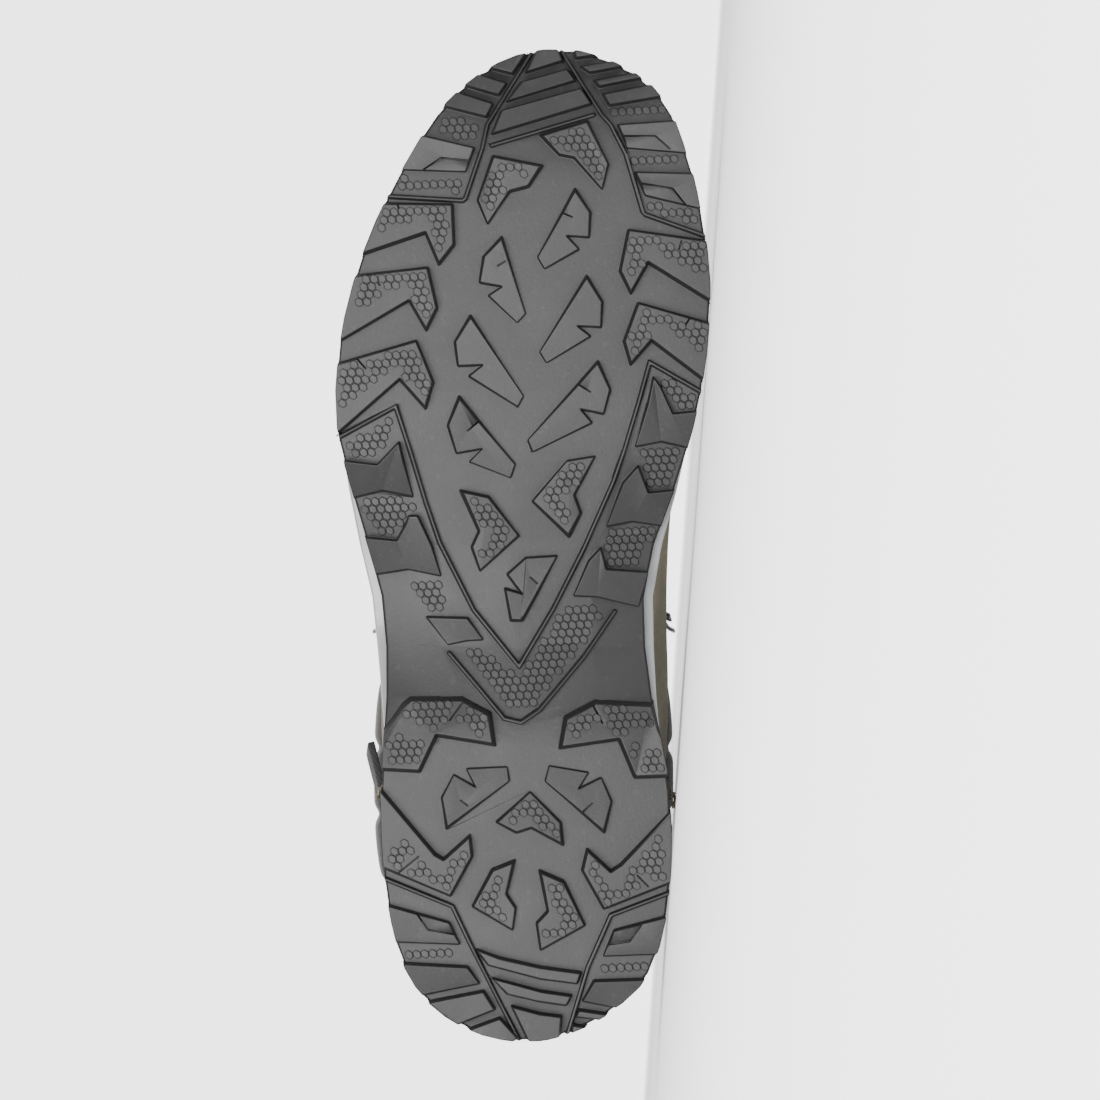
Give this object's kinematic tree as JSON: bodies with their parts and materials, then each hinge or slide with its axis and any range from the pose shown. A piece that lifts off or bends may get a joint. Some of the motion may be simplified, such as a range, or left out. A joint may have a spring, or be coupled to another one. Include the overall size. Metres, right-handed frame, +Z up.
{
  "type": "hunting boot",
  "caption": "Right leather hunting boot lying on its inner side: lugged rubber sole, hollow laced upper, padded cuff, tongue, pull loop and side tab.",
  "frame": {"origin": "centre of the bounding box, underneath, on the floor", "axes": "+X from heel to toe, +Z up, sole towards -Y: the boot lies on its inner side"},
  "size_m": [0.312, 0.2122, 0.1141],
  "materials": {
    "black_rubber": "moulded, dusty matt",
    "grey_foam": "smooth satin",
    "olive_nubuck": "nubuck",
    "dark_leather": "oiled",
    "cuff_leather": "soft",
    "lining": "brushed knit",
    "gunmetal": "dark satin",
    "lace_cord": "braided round cord",
    "black_webbing": "woven webbing"
  },
  "bodies": {
    "root": {"outsole": "black_rubber", "midsole": "grey_foam", "upper": "olive_nubuck", "toe_rand": "black_rubber", "heel_counter": "dark_leather", "eyestay_inner": "dark_leather", "eyestay_outer": "dark_leather", "cuff": "cuff_leather", "tongue": "olive_nubuck", "insole": "lining", "pull_loop": "black_webbing", "side_tab": "black_webbing", "lace": "lace_cord", "ring_inner_1": "gunmetal", "ring_inner_2": "gunmetal", "ring_inner_3": "gunmetal", "ring_inner_4": "gunmetal", "hook_inner_1": "gunmetal", "hook_inner_2": "gunmetal", "hook_inner_3": "gunmetal", "ring_outer_1": "gunmetal", "ring_outer_2": "gunmetal", "ring_outer_3": "gunmetal", "ring_outer_4": "gunmetal", "hook_outer_1": "gunmetal", "hook_outer_2": "gunmetal", "hook_outer_3": "gunmetal"}
  },
  "joints": []
}
